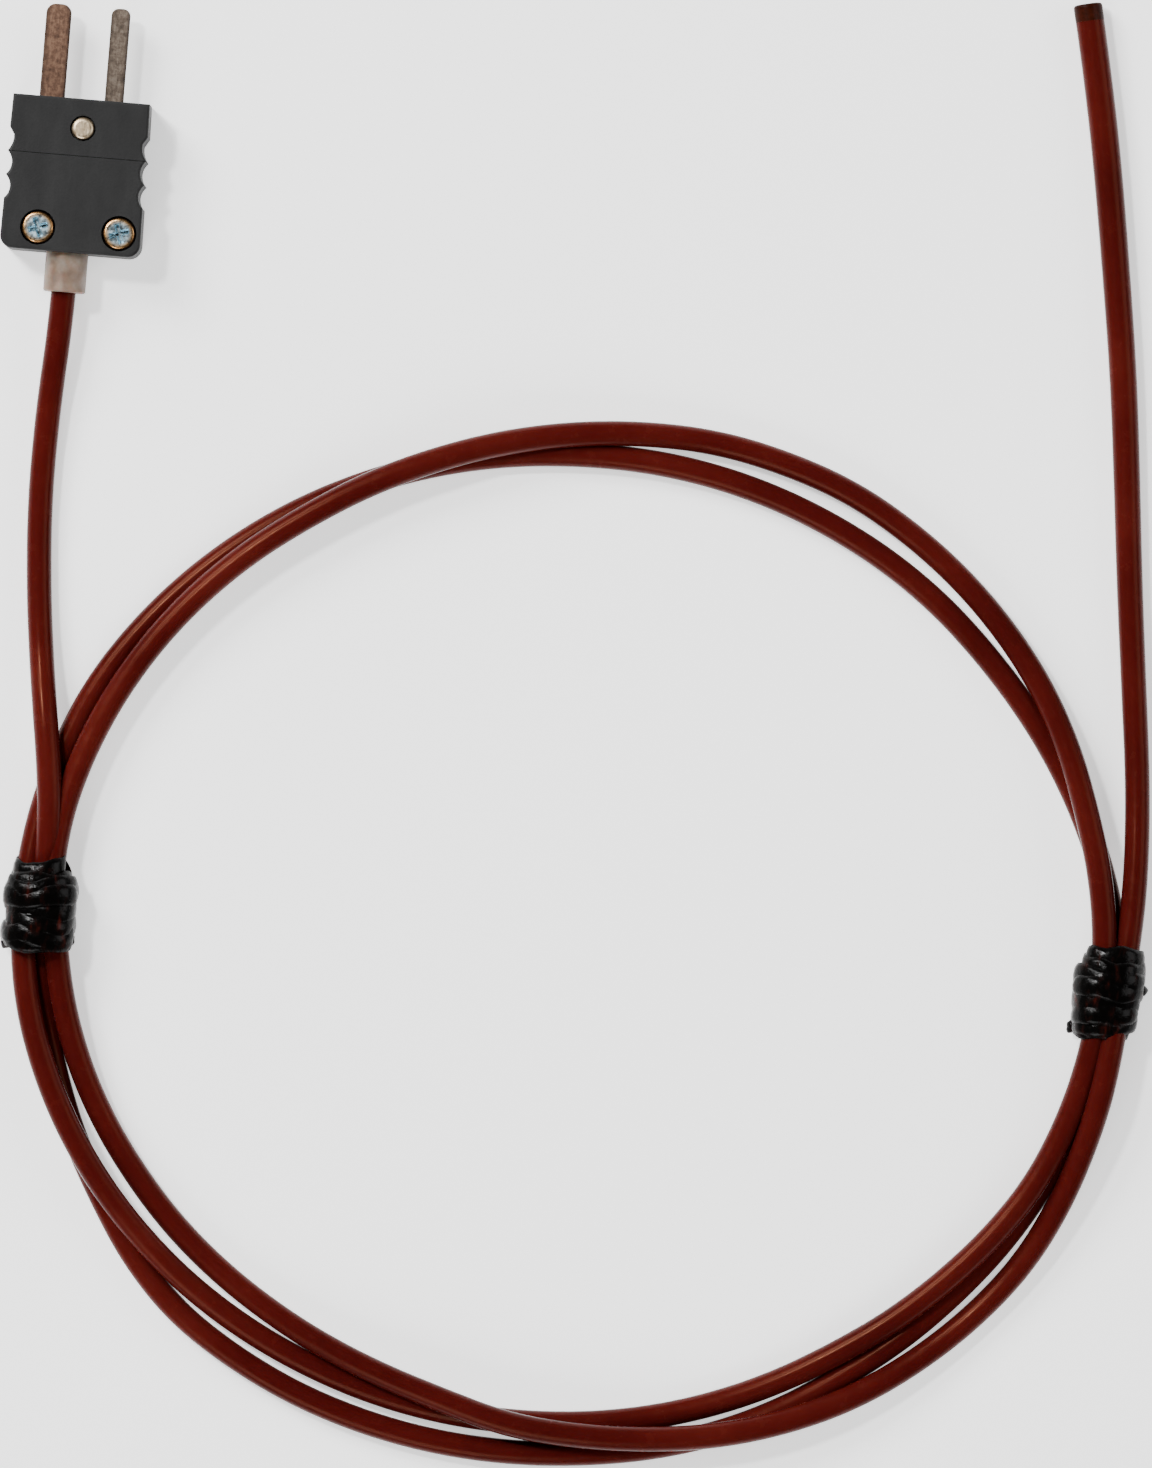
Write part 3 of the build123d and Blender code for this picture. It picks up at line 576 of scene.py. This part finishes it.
def nub(name, angle, out, drop, height, heading, length):
    """Loose end of the tie's strand, sticking out a little way, lumpy and blunt."""
    middle, outward, along = tie_axes(angle)
    start = middle + outward * out + along * drop + Vector((0, 0, height))
    way = outward * math.cos(heading) + along * math.sin(heading)
    across = Vector((-way.y, way.x, 0.0))
    rings = []
    for index in range(9):
        share = index / 8
        size = 0.0007 * math.sqrt(max(0.02, 1 - max(0.0, share - 0.35) ** 2 / 0.43))
        size *= 1 + 0.15 * math.sin(9 * share + out * 4000)
        centre = start + way * (length * share) + Vector((0, 0, -0.0005 * share * share))
        ring = []
        for corner in range(12):
            turn = 2 * math.pi * corner / 12
            ring.append(centre + across * (size * math.cos(turn)) + Vector((0, 0, size * math.sin(turn))))
        rings.append(ring)
    return loft(name, rings)


def wind(tie, layer, angle, first, last, turns, reach, half_strip, half_thick, seed):
    """Flattened strand wound round the bundle between two places along it, as one closed mesh."""
    middle, outward, along = tie_axes(angle)
    low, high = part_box(tie)
    axis_height = (low[2] + high[2]) / 2
    half_height = (high[2] - low[2]) / 2
    half_width = TIE_HALF_WIDTH
    steps, sides = 30, 10
    count = int(turns * steps)
    rings = []
    for index in range(count + 1):
        share = index / count
        bearing = 2 * math.pi * index / steps
        stir = noise.noise_vector(Vector((bearing * 1.3, seed * 7.3, share * 3)))
        drop = first + (last - first) * share + 0.0009 * stir.x
        bulge = reach * swelling(tie, drop / TIE_LENGTH) * (1 + 0.07 * stir.y)
        thick = half_thick * (1 + 0.35 * stir.z)
        squarer = 1 - 0.05 * math.cos(2 * bearing) ** 2
        side = Vector((math.cos(bearing), math.sin(bearing)))
        centre_out = (half_width - half_thick) * bulge * squarer * side.x + TIE_DRIFT * max(0.0, drop)
        centre_up = (half_height - half_thick) * bulge * squarer * side.y
        lean = 0.0005 * math.sin(bearing + seed)
        ends = math.sin(math.pi * min(1.0, (min(index, count - index) + 1) / 4) / 2)
        ring = []
        for corner in range(sides):
            turn = 2 * math.pi * corner / sides
            proud = thick * ends * math.cos(turn)
            wide = half_strip * ends * (1 + 0.2 * stir.x) * math.sin(turn)
            out = centre_out + proud * side.x
            up = min(max(axis_height + centre_up + proud * side.y, low[2] + 0.00002), high[2])
            ring.append(middle + outward * out + along * (drop + lean + wide) + Vector((0, 0, up)))
        rings.append(ring)
    return loft(f"{tie}_{layer}", rings)


def tie_finish():
    """Near-black glossy plastic, drawn tight, with a few brown thin spots."""
    finish = Finish("tie", IOR=1.45, Specular_IOR_Level=0.08)
    patches = finish.noise(0.0016, 2.0, 0.5, finish.stretched((1.6, 0.7, 1.0)))
    creases = finish.noise(0.0007, 3.0, 0.6)
    colour = finish.ramp(
        patches,
        (0.52, (0.0012, 0.0010, 0.0009)),
        (0.64, (0.005, 0.0018, 0.0014)),
        (0.76, (0.028, 0.0035, 0.0022)),
    )
    finish.colour(colour)
    finish.roughness(finish.range(creases, 0.1, 0.3))
    finish.bump(creases, 0.00012, 0.5)
    return finish.material


def make_ties():
    """Wound black ties round the coil: an under layer along the whole tie, and two tighter bands."""
    black = tie_finish()
    ties = []
    for name, angle, seed in (("tie_left", LEFT_TIE, 3), ("tie_right", RIGHT_TIE, 8)):
        half = TIE_LENGTH / 2
        layers = [
            wind(name, "under", angle, -half + 0.0013, half - 0.0013, 5.5, 0.95, 0.0017, 0.00035, seed),
            wind(name, "band_low", angle, -0.0022, -0.0043, 1.5, 1.0, 0.0013, 0.0004, seed + 1),
            wind(name, "band_high", angle, 0.0022, 0.0004, 1.5, 1.0, 0.0014, 0.0004, seed + 2),
        ]
        for number, (out, drop, height, heading, length) in enumerate(TIE_NUBS[name]):
            layers.append(nub(f"{name}_end_{number}", angle, out, drop, height, heading, length))
        for strand in layers:
            strand.data.materials.append(black)
            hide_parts(name)
            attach(strand, BODY)
        ties.extend(layers)
    return ties


# ---------------------------------------------------------------- studio
def make_floor():
    """Plain white sweep under the object."""
    half = 3.0
    mesh = bpy.data.meshes.new("floor")
    corners = [(-half, -half, 0), (half, -half, 0), (half, half, 0), (-half, half, 0)]
    mesh.from_pydata(corners, [], [(0, 1, 2, 3)])
    floor = bpy.data.objects.new("floor", mesh)
    bpy.context.collection.objects.link(floor)
    finish = Finish("floor", Roughness=0.8, Emission_Color=(1, 1, 1, 1), Emission_Strength=0.9)
    tone = finish.noise(0.4, 1.0)
    finish.colour(finish.ramp(tone, (0.3, (0.93, 0.93, 0.93)), (0.7, (0.95, 0.95, 0.95))))
    mesh.materials.append(finish.material)


def add_light(name, place, size, power, colour=(1, 1, 1)):
    """Rectangular soft light aimed at the middle of the object."""
    data = bpy.data.lights.new(name, "AREA")
    data.shape = "RECTANGLE"
    data.size, data.size_y = size
    data.energy = power
    data.color = colour
    light = bpy.data.objects.new(name, data)
    light.location = place
    aim = Vector((0.07, -0.07, 0.0)) - Vector(place)
    light.rotation_euler = aim.to_track_quat("-Z", "Y").to_euler()
    bpy.context.collection.objects.link(light)


def make_world():
    """White surroundings that darken overhead, so that flat tops keep their own colour."""
    world = bpy.data.worlds.new("studio")
    world.use_nodes = True
    tree = world.node_tree
    direction = tree.nodes.new("ShaderNodeTexCoord")
    parts = tree.nodes.new("ShaderNodeSeparateXYZ")
    tree.links.new(direction.outputs["Generated"], parts.inputs[0])
    ramp = tree.nodes.new("ShaderNodeValToRGB")
    stops = ((0.0, 1.0), (0.3, 0.7), (0.7, 0.12), (1.0, 0.02))
    while len(ramp.color_ramp.elements) < len(stops):
        ramp.color_ramp.elements.new(0.5)
    for element, (height, white) in zip(ramp.color_ramp.elements, stops):
        element.position = height
        element.color = (white, white, white, 1)
    tree.links.new(parts.outputs["Z"], ramp.inputs["Fac"])
    background = tree.nodes["Background"]
    tree.links.new(ramp.outputs["Color"], background.inputs["Color"])
    background.inputs["Strength"].default_value = 0.6
    bpy.context.scene.world = world


def make_studio():
    """Floor, surroundings, a soft key from the upper left and weaker lights on the other sides."""
    make_floor()
    make_world()
    add_light("overhead", (-0.55, 0.45, 1.25), (0.14, 0.14), 17.0)
    add_light("key", (-0.9, 0.8, 0.95), (0.6, 0.6), 30.0)
    add_light("fill", (1.25, 0.2, 0.85), (0.8, 0.8), 8.0)
    add_light("low", (-0.3, -1.3, 0.85), (0.8, 0.8), 17.0)


# ---------------------------------------------------------------- put it together
make_camera()
cable = make_cable()
cable.data.materials.append(cable_finish())
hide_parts("cable_lead", "cable_coil", "cable_tip_lead")
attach(cable, BODY)
finish_cad_nodes()
ties = make_ties()
make_studio()
